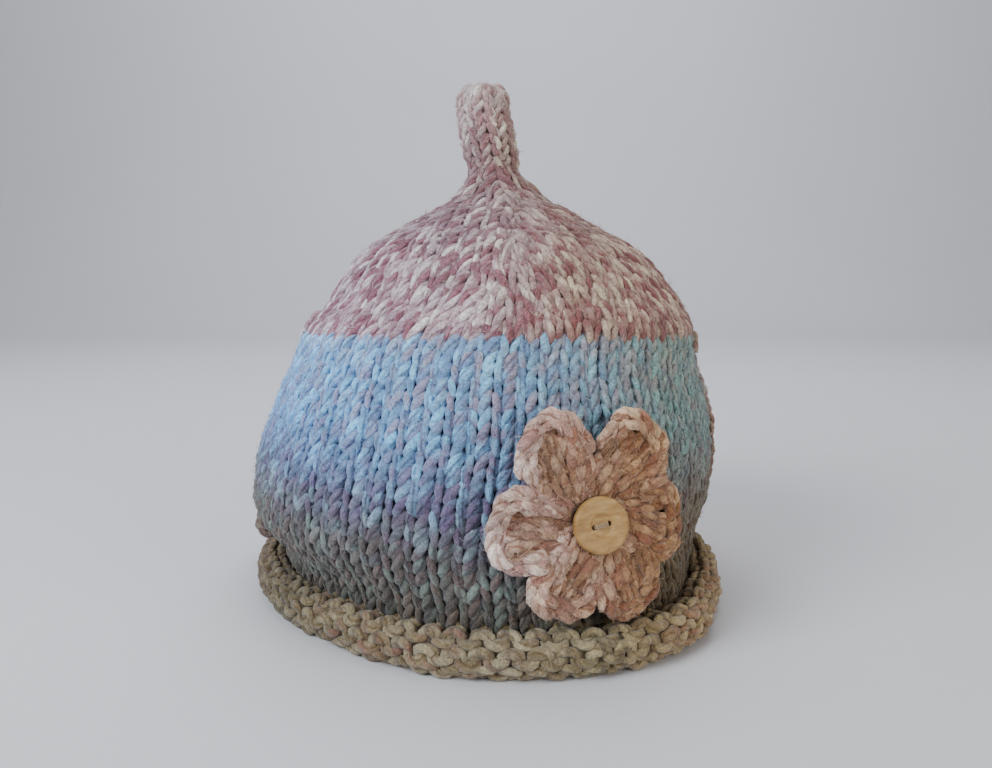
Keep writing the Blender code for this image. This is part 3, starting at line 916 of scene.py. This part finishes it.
stalk = yarnPiece("stalk", stalkRuns, yarns["crown"], True, stalkKnitting)


# The cloth behind the loops: a thin sheet along the cloth's middle, open at both slits, coloured dark
# as painted shade in the gaps between loops
ground = {"columns": 96, "rows": 56, "thickness": 0.9}


def paintedShadeMaterial(name, stops):
    # painted shade seen in the gaps between loops: the yarns' colours darkened as if in shadow, mottled
    # darker and lighter
    desk = Desk(name)
    place = desk.node("ShaderNodeTexCoord", {}, {}, "Object")
    height = desk.node("ShaderNodeSeparateXYZ", {}, {0: place}).other(2)
    cloud = desk.noise(place, 260.0, 3.0)
    shade = desk.spread(cloud, 0.3, 0.7, 0.55, 1.2)
    colour = desk.ramp(desk.spread(height, 0.0, 0.2), stops)
    desk.feed("Base Color", desk.shaded(colour, shade))
    desk.bump(cloud, 0.8, 0.6)
    desk.fix(Roughness=1.0, Specular_IOR_Level=0.05)
    return desk.material


def groundSheet():
    columns, rows = ground["columns"], ground["rows"]
    half = columns // 2
    places = np.linspace(0.0, stalkEnds, rows)
    places = np.sort(np.concatenate([places, [placeOfRow(firstOpen), placeOfRow(lastOpen)]]))
    azimuths = knitting["firstAzimuth"] + 360.0 / columns * np.arange(columns + 1)
    low, high = placeOfRow(firstOpen), placeOfRow(lastOpen)
    verts, faces, number = [], [], {}
    for panel, first in (("back", 0), ("front", half)):
        def keyOf(side, row, column):
            # beside an open slit, each panel has corners of its own
            isOpen = low < places[row] < high and column in (0, half)
            return side, row, (first + column) % columns, panel if isOpen else ""

        turns = azimuths[first:first + half + 1]
        grid = np.repeat(turns[None, :], len(places), axis=0).ravel()
        level = np.repeat(places[:, None], half + 1, axis=1).ravel()
        middle = clothPoint(grid, level, panel)
        normal = clothNormal(grid, level, panel)
        for side, way in enumerate((-0.5, 0.5)):
            points = middle + normal * way * ground["thickness"]
            points[:, 2] = np.maximum(points[:, 2], 1.2)
            for spot in range(len(points)):
                key = keyOf(side, *divmod(spot, half + 1))
                if key not in number:
                    number[key] = len(verts)
                    verts.append(points[spot])

        def at(side, row, column):
            return number[keyOf(side, row, column)]

        for row in range(len(places) - 1):
            for column in range(half):
                corners = [(row, column), (row, column + 1), (row + 1, column + 1), (row + 1, column)]
                faces.append([at(1, *corner) for corner in corners])
                faces.append([at(0, *corner) for corner in corners[::-1]])
            if low <= places[row] and places[row + 1] <= high:
                for column, turn in ((0, 1), (half, -1)):
                    wall = [at(0, row, column), at(1, row, column),
                            at(1, row + 1, column), at(0, row + 1, column)]
                    faces.append(wall[::turn])
        for column in range(half):
            faces.append([at(0, 0, column), at(0, 0, column + 1),
                          at(1, 0, column + 1), at(1, 0, column)])
    # the two layers meet at the stalk's gathered end
    for side in (0, 1):
        rim = [number[(side, len(places) - 1, column, "")] for column in range(columns)]
        tip = len(verts)
        verts.append(np.mean([verts[corner] for corner in rim], axis=0) + (0, 0, 0.6 * side))
        for column in range(columns):
            face = [rim[column], rim[(column + 1) % columns], tip]
            faces.append(face if side else face[::-1])
    # its colours follow the yarns up the cosy, darkened into painted shade
    return simplePiece("cloth", verts, faces, paintedShadeMaterial("paintedShadeBehindYarn", [
        (0.0, tint(96, 84, 66)), (0.09, tint(74, 66, 62)), (0.2, tint(52, 50, 60)),
        (0.48, tint(50, 58, 84)), (0.52, tint(110, 74, 82)), (1.0, tint(128, 92, 88))]))


def edgeCurl():
    # the knitted corner curls out over the hem where the left slit begins
    dice = np.random.default_rng(3)
    corners = np.array([(-92.0, 6.0, 14.5), (-96.6, 9.0, 17.5), (-98.0, 14.0, 21.0),
                        (-96.0, 18.5, 25.5), (-91.5, 22.0, 31.0)])
    path, _ = catmullRom(corners, 10)
    normals = np.tile((-0.94, -0.2, 0.28), (len(path), 1))
    runs = chainOfLoops(path, normals, 5.0, 2.7, 1.0, 0.3, dice)
    for run in runs:
        run["shade"] = run["shade"] * 0.72
    return runs


def chainOfLoops(path, normals, pitch, halfWidth, lift, stage, dice, samples=16):
    # chain stitches along a path in space, each drawn through the one before it
    marks = lengthsAlong(path)
    links = max(int(round(marks[-1] / pitch)), 1)
    runs = []
    for link in range(links):
        t = np.arange(samples) / samples * 2 * np.pi
        spots = (link + 0.5) * marks[-1] / links - np.cos(t) * pitch * 0.8
        middle, out = readAlong(spots, marks, path), readAlong(spots, marks, normals)
        ahead, behind = (readAlong(spots + step, marks, path) for step in (nearby, -nearby))
        way = ahead - behind + (0, 0, 1e-4)
        across = np.cross(way / norms(way), out)
        spread = halfWidth * (1 + dice.normal(0, 0.1)) * np.sin(t)
        points = middle + across * spread[:, None] - out * (lift * np.cos(2 * t))[:, None]
        runs.append(evenRun(points, out, fat=1.0, seed=dice.uniform(0, 1), stage=stage, shade=0.9))
    return runs


cloth = groundSheet()
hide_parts("cosy")
print("  cloth:", len(cloth.data.polygons), "faces")
curl = yarnPiece("curledEdge", edgeCurl(), yarns["back"], True, knitting)


def gatheredTop():
    # the last loops, drawn in over the end of the stalk in ragged tufts
    dice = np.random.default_rng(8)
    runs = []
    for number in range(9):
        turn = 2 * np.pi * (number + dice.uniform(-0.2, 0.2)) / 9
        high = 195.8 + dice.uniform(-1.0, 1.2)
        corners = [(0.8, 193.0), (3.2, high - 0.4), (6.3, high), (8.4, high - 2.6),
                   (9.2, high - 6.5)]
        path = np.array([(cosyShape["axis"][0] - 1.1 + radius * math.cos(turn),
                          cosyShape["axis"][1] + radius * math.sin(turn), height)
                         for radius, height in corners])
        path, _ = catmullRom(path, 8)
        normals = path - (cosyShape["axis"][0] - 1.1, cosyShape["axis"][1], 186.0)
        runs += chainOfLoops(path, normals / norms(normals), 4.6, 1.3, 0.9, 1.0, dice)
    return runs


def slitTufts():
    # small puffs of the crown's yarn, where a slit ends and the round rows begin
    dice = np.random.default_rng(12)
    runs = []
    for azimuth, low, high in ((190.0, 0.5, 2.5), (-11.5, -0.4, 1.0)):
        turn = np.full(12, azimuth)
        place = placeOfRow(np.linspace(lastOpen + low, lastOpen + high, 12))
        normals = clothNormal(turn, place)
        path = clothPoint(turn, place) + normals * 2.3
        runs += chainOfLoops(path, normals, 4.0, 1.7, 0.9, 0.9, dice)
    return runs


tufts = yarnPiece("slitTufts", slitTufts(), yarns["crown"], True, stalkKnitting)
topRuns = gatheredTop()
top = yarnPiece("gatheredTop", topRuns, yarns["crown"], True, stalkKnitting)
# yarn, the runs it stands off, how many fibres, seed
fuzzPlan = [("hem", hemRuns, 3200, 21), ("front", footRuns + [frontRun, joinRun], 7000, 22),
            ("back", [backRun], 2500, 23), ("crown", crownRuns + stalkRuns + topRuns, 6500, 24)]
cosyFuzz = [fuzz(name + "Fuzz", runs, knitting, yarns[name], count, seed)
            for name, runs, count, seed in fuzzPlan]


# The crocheted flower: chain-stitch rims round fanned-out posts, on its own plane
flower = {
    "azimuth": -69.2,
    "reach": 93.5,
    "height": 48.2,
    "lean": -1.2,
    "leansBack": 6.0,
    "backBend": 1 / 330.0,
    # angle, reach and half-width of each petal
    "petals": [(-6, 35.0, 13.5), (51, 38.3, 13.5), (118, 37.4, 13.0), (184, 34.5, 13.0),
               (242, 32.5, 11.5), (298, 35.2, 12.5)],
    "notch": 15.0,                # reach between two petals
    "rimHeight": 4.7,
    "postHeight": 3.0,
    "linkPitch": 5.9,
    "yarnWidth": 1.9,
    "yarnDepth": 1.6,
    "twistPitch": 15.0,
    "lobes": 0.2,
    "sides": 8,
}


def flowerFrame():
    turn = math.radians(flower["azimuth"])
    origin = np.array([cosyShape["axis"][0] + flower["lean"] + flower["reach"] * math.cos(turn),
                       cosyShape["axis"][1] + flower["reach"] * math.sin(turn), flower["height"]])
    right = np.array([-math.sin(turn), math.cos(turn), 0.0])
    outward = np.array([math.cos(turn), math.sin(turn), math.tan(math.radians(flower["leansBack"]))])
    outward /= np.linalg.norm(outward)
    return origin, right, np.cross(outward, right), outward


flowerOrigin, flowerRight, flowerUp, flowerOut = flowerFrame()


def onFlower(points):
    # from the flower's own across, up and out to the frame, in mm
    points = np.asarray(points, float)
    out = points[:, 2] - flower["backBend"] * points[:, 0] ** 2
    return (flowerOrigin + points[:, :1] * flowerRight + points[:, 1:2] * flowerUp
            + out[:, None] * flowerOut)


def along(path, lengths):
    # points and directions at given lengths on a path
    marks = lengthsAlong(path)
    ahead, behind = (readAlong(lengths + step, marks, path) for step in (nearby, -nearby))
    way = ahead - behind
    return readAlong(lengths, marks, path), way / np.maximum(norms(way), 1e-6), marks[-1]


def chainOfLinks(path, pitch, halfWidth, lift, stage, dice, samples=16):
    # crochet chain along a path on the flower: each link is a loop drawn through the last one
    total = along(path, np.array([0.0]))[2]
    links = max(int(round(total / pitch)), 1)
    runs = []
    for link in range(links):
        middle = (link + 0.5) * total / links + dice.normal(0, 0.35)
        t = np.arange(samples) / samples * 2 * np.pi
        spread = halfWidth * (1 + dice.normal(0, 0.16))
        ahead = -np.cos(t) * pitch * 0.86
        across = spread * np.sin(t) * (1 - 0.45 * np.cos(t)) + dice.normal(0, 0.35)
        rise = lift * (-np.cos(2 * t)) * 0.55 + dice.normal(0, 0.4)
        points, way, _ = along(path, middle + ahead)
        side = np.cross(way, (0, 0, 1.0))
        side /= np.maximum(norms(side), 1e-6)
        twisted = dice.normal(0, 0.3)
        flat = points + side * across[:, None] + np.array([0, 0, 1.0]) * (
            rise + twisted * across)[:, None]
        runs.append(evenRun(
            onFlower(flat), np.repeat(flowerOut[None, :], len(t), axis=0),
            fat=1 + dice.normal(0, 0.09), seed=dice.uniform(0, 1),
            stage=np.clip(stage + dice.normal(0, 0.18), 0, 1), shade=1 + dice.normal(0, 0.09)))
    return runs


def turnedFlat(local, angle):
    # turns points about the flower's middle
    c, s = math.cos(math.radians(angle)), math.sin(math.radians(angle))
    return np.stack([local[:, 0] * c - local[:, 1] * s, local[:, 0] * s + local[:, 1] * c,
                     local[:, 2]], axis=1)


def petalRim(angle, reach, halfWidth, dice):
    # round one petal, from the heart and back to it
    inset = 2.9
    middle = reach - halfWidth
    radius = halfWidth - inset
    turns = np.radians(np.linspace(-116, 116, 40))
    wobble = 1 + 0.06 * np.sin(3 * turns + dice.uniform(0, 6)) + 0.03 * np.sin(
        7 * turns + dice.uniform(0, 6))
    square = 1 + 0.04 * np.cos(4 * (turns - math.radians(45)))
    x = middle + radius * wobble * square * np.cos(turns)
    y = radius * wobble * square * np.sin(turns) * 1.02
    z = (flower["rimHeight"] + 1.1 * np.sin(2 * turns + dice.uniform(0, 6))
         + 0.5 * np.sin(5 * turns + dice.uniform(0, 6)) - 0.6 * (np.cos(turns) < -0.2))
    return turnedFlat(np.stack([x, y, z], axis=1), angle)


def petalPost(angle, reach, halfWidth, share, dice):
    # a post from under the button out to the rim; share says where in the fan it stands
    fan = math.radians(share * 44 + dice.normal(0, 2.5))
    middle = reach - halfWidth
    radius = halfWidth - 6.1 + dice.normal(0, 0.6)
    far = np.array([middle + radius * math.cos(fan * 2.1), radius * math.sin(fan * 2.1) * 1.05])
    near = np.array([6.5, share * 4.0])
    steps = np.linspace(0, 1, 14)
    local = near[None, :] + (far - near)[None, :] * steps[:, None]
    local[:, 1] += np.sin(np.pi * steps) * share * 1.5
    seat = ease((np.hypot(local[:, 0], local[:, 1]) - 7) / 7)
    z = flower["postHeight"] - 1.5 * (1 - seat) + (0.8 + dice.normal(0, 0.6)) * steps
    return turnedFlat(np.column_stack([local, z]), angle)


def flowerGround():
    # the worked base under the posts, dished in each petal, coloured dark brown as painted shade
    # between the posts and rims
    turns = np.radians(np.linspace(0, 360, 144, endpoint=False))
    shares = [0.0, 0.3, 0.5, 0.65, 0.78, 0.9, 1.0]
    verts, faces = [], []
    edge = np.full(len(turns), flower["notch"] - 1.5)
    for angle, reach, halfWidth in flower["petals"]:
        off = (turns - math.radians(angle) + math.pi) % (2 * math.pi) - math.pi
        middle, radius = reach - halfWidth, halfWidth - 2.6
        inside = radius**2 - (middle * np.sin(off)) ** 2
        far = middle * np.cos(off) + np.sqrt(np.maximum(inside, 0))
        edge = np.where((inside > 0) & (np.cos(off) > 0), np.maximum(edge, far), edge)
    for heights in ((2.9, 2.2, 1.8, 1.7, 2.0, 2.4, 2.2), (0.5,) * 7):
        for share, height in zip(shares[1:], heights[1:]):
            flat = np.stack([edge * share * np.cos(turns), edge * share * np.sin(turns),
                             np.full(len(turns), height)], axis=1)
            verts.extend(onFlower(flat))
        verts.append(onFlower([[0, 0, heights[0]]])[0])
    count, rings = len(turns), len(shares) - 1
    block = rings * count + 1
    for layer in (0, 1):
        for ring in range(rings - 1):
            for spot in range(count):
                a = layer * block + ring * count + spot
                b = layer * block + ring * count + (spot + 1) % count
                face = [a, a + count, b + count, b]
                faces.append(face if layer == 0 else face[::-1])
        for spot in range(count):
            face = [layer * block + spot, layer * block + (spot + 1) % count, layer * block + block - 1]
            faces.append(face if layer == 0 else face[::-1])
    for spot in range(count):
        a = (rings - 1) * count + spot
        b = (rings - 1) * count + (spot + 1) % count
        faces.append([a, a + block, b + block, b])
    return simplePiece("flowerBase", verts, faces, paintedShadeMaterial("paintedShadeUnderFlower", [
        (0.0, tint(90, 60, 44)), (1.0, tint(90, 60, 44))]))


def buildFlower():
    dice = np.random.default_rng(5)
    rims, posts = [], []
    for angle, reach, halfWidth in flower["petals"]:
        pale = 0.97 if math.cos(math.radians(angle - 130)) > -0.2 else 0.5
        rim = petalRim(angle, reach, halfWidth, dice)
        rims += chainOfLinks(rim, flower["linkPitch"], 1.55, 1.7, pale, dice)
        for share in (-1.0, -0.5, 0.0, 0.5, 1.0):
            post = petalPost(angle, reach, halfWidth, share, dice)
            posts += chainOfLinks(post, 5.7, 1.45, 1.7, 0.35 + 0.35 * (share < -0.6), dice)
    for spot in range(6):
        # pale posts that stand in the notches between petals
        a, b = flower["petals"][spot][0], flower["petals"][(spot + 1) % 6][0]
        b = b + 360 if b < a else b
        turn = math.radians((a + b) / 2)
        way = np.array([math.cos(turn), math.sin(turn)])
        steps = np.linspace(0, 1, 10)
        reach = 6.0 + (flower["notch"] + 1.0 - 6.0) * steps
        rise = 1.7 + 1.6 * ease((reach - 7) / 6)
        path = np.stack([way[0] * reach, way[1] * reach, rise], axis=1)
        posts += chainOfLinks(path, 4.8, 1.3, 1.0, 0.95, dice)
    rimPiece = yarnPiece("flowerRims", rims, yarns["flower"], True, flower)
    postPiece = yarnPiece("flowerPosts", posts, yarns["flower"], True, flower)
    stray = fuzz("flowerFuzz", rims + posts, flower, yarns["flower"], 5000, 25)
    base = flowerGround()
    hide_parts("crochet_flower")


print("crocheting the flower")
buildFlower()


# The button keeps its solid's form; it gets bare pale wood and the thread that holds it
def woodMaterial():
    desk = Desk("paleWood")
    place = desk.node("ShaderNodeTexCoord", {}, {}, "Object")
    tilted = desk.node("ShaderNodeMapping", {}, {
        "Vector": place, "Rotation": (0.1, math.radians(10), math.radians(18))})
    stretched = desk.node("ShaderNodeMapping", {}, {"Vector": tilted, "Scale": (60.0, 300.0, 620.0)})
    grain = desk.noise(stretched, 1.0, 4.0, Roughness=0.6, Distortion=0.4)
    cloud = desk.noise(place, 130.0, 2.0)
    colour = desk.ramp(grain * 0.8 + cloud * 0.2, [
        (0.30, tint(132, 94, 46)), (0.50, tint(162, 125, 72)), (0.68, tint(186, 152, 98))])
    desk.feed("Base Color", colour)
    desk.feed("Roughness", desk.spread(grain, 0.3, 0.7, 0.42, 0.6))
    desk.bump(grain, 0.25, 0.1)
    desk.fix(Coat_Weight=0.12, Coat_Roughness=0.35)
    return desk.material


def threadMaterial():
    desk = Desk("paleThread")
    strand = desk.node("ShaderNodeUVMap", {"uv_map": "strand"})
    turn = desk.node("ShaderNodeSeparateXYZ", {}, {0: strand})
    wave = (turn * (4 * math.pi)).math("COSINE")
    # painted shade: the thread is darker in the grooves between its two plies
    desk.feed("Base Color", desk.mix(desk.spread(wave, -1, 1), (0.20, 0.13, 0.07, 1),
                                     (0.38, 0.27, 0.16, 1)))
    desk.bump(wave, 0.5, 0.1)
    desk.fix(Roughness=0.8, Sheen_Weight=0.2)
    return desk.material


button = {
    "offset": (2.6, -1.5),
    "height": 4.9,
    "turn": -9.5,
    "nod": 3.0,
    "holes": (2.3, 0.483),
    "dish": 2.2,
    "passApart": 0.36,            # each pass of thread to the middle between them
    "thread": {"yarnWidth": 0.42, "yarnDepth": 0.42, "twistPitch": 1.6, "lobes": 0.12, "sides": 8},
}


def buttonThread():
    # two passes of thread from hole to hole
    place = Matrix.Translation((*button["offset"], button["height"]))
    tilt = Matrix.Rotation(math.radians(button["turn"]), 4, "Y")
    nod = Matrix.Rotation(math.radians(-button["nod"]), 4, "X")
    across = np.array(button["holes"])
    sideways = np.array([-across[1], across[0]]) / np.linalg.norm(across)
    runs = []
    for side in (-button["passApart"], button["passApart"]):
        share = np.linspace(-1, 1, 25)
        flat = across[None, :] * share[:, None] + sideways[None, :] * side
        rise = button["dish"] + 0.42 - 3.2 * np.clip(np.abs(share) - 0.72, 0, 1) ** 1.2 * 3
        local = np.column_stack([flat, rise])
        points = np.array([(place @ tilt @ nod @ Vector(point))[:] for point in local])
        outs = np.repeat(flowerOut[None], len(points), axis=0)
        runs.append(evenRun(onFlower(points), outs, fat=1.0, seed=0.0, stage=0.0, shade=1.0))
    return yarnPiece("buttonThread", runs, threadMaterial(), False, button["thread"])


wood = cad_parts["button"]
wood.data.materials.clear()
wood.data.materials.append(woodMaterial())
buttonThread()

# Camera, floor and light
view = {
    "eye": (4.5, -325.7, 123.6),
    "down": 7.7,
    "lens": 29.03,
}
cameraData = bpy.data.cameras.new("camera")
cameraData.lens = view["lens"]
cameraData.sensor_width = 36.0
camera = bpy.data.objects.new("camera", cameraData)
camera.location = Vector(view["eye"]) * mm
camera.rotation_euler = (math.radians(90 - view["down"]), 0, 0)
bpy.context.scene.collection.objects.link(camera)
bpy.context.scene.camera = camera


def plainFloor():
    bpy.ops.object.select_all(action="DESELECT")
    bpy.ops.mesh.primitive_plane_add(size=9.0, location=(0, -3.2, -0.0001))
    floor = bpy.context.active_object
    floor.name = "floor"
    bpy.ops.object.mode_set(mode="EDIT")
    bpy.ops.mesh.select_all(action="DESELECT")
    bpy.ops.object.mode_set(mode="OBJECT")
    for edge in floor.data.edges:
        ends = [floor.data.vertices[end].co.y for end in edge.vertices]
        edge.select = min(ends) > 1.0
    bpy.ops.object.mode_set(mode="EDIT")
    for step in range(12):
        angle = math.radians(7.5 * (step + 0.5))
        bpy.ops.mesh.extrude_region_move(TRANSFORM_OT_translate={
            "value": (0, 0.08 * math.cos(angle), 0.08 * math.sin(angle))})
    bpy.ops.mesh.extrude_region_move(TRANSFORM_OT_translate={"value": (0, 0, 2.0)})
    bpy.ops.object.mode_set(mode="OBJECT")
    bpy.ops.object.shade_smooth()
    desk = Desk("paleFloor")
    coords = desk.node("ShaderNodeTexCoord", {}, {}, "Object")
    cloud = desk.noise(coords, 3.0, 3.0)
    desk.feed("Base Color", desk.ramp(cloud, [(0.3, (0.66, 0.67, 0.71)), (0.7, (0.68, 0.69, 0.73))]))
    desk.fix(Roughness=0.6)
    floor.data.materials.append(desk.material)


def softLight(name, place, aim, size, power, colour):
    data = bpy.data.lights.new(name, "AREA")
    data.shape = "RECTANGLE"
    data.size, data.size_y = size
    data.energy = power
    data.color = colour
    lamp = bpy.data.objects.new(name, data)
    lamp.location = Vector(place)
    lamp.rotation_euler = (Vector(aim) - Vector(place)).to_track_quat("-Z", "Y").to_euler()
    bpy.context.scene.collection.objects.link(lamp)


# place and aim in metres, size, watts, colour
middle = (0, 0, 0.09)
lamps = {
    "key": ((-0.75, -0.60, 0.70), middle, (0.6, 0.6), 13.5, (0.93, 0.97, 1.0)),
    "fill": ((1.36, -1.12, 0.50), middle, (1.4, 0.5), 14.6, (1.0, 0.92, 0.80)),
    "top": ((0.0, 0.30, 1.05), middle, (0.8, 0.8), 4.5, (1.0, 1.0, 1.0)),
    "wall": ((0.0, 0.55, 1.5), (0.0, 2.2, 0.6), (1.6, 0.5), 18.0, (0.92, 0.95, 1.0)),
}


def studio():
    for name, lamp in lamps.items():
        softLight(name, *lamp)
    world = bpy.context.scene.world or bpy.data.worlds.new("world")
    bpy.context.scene.world = world
    world.use_nodes = True
    background = world.node_tree.nodes["Background"]
    background.inputs["Color"].default_value = (0.78, 0.80, 0.86, 1)
    background.inputs["Strength"].default_value = 0.38


plainFloor()
studio()
print("stage is set")
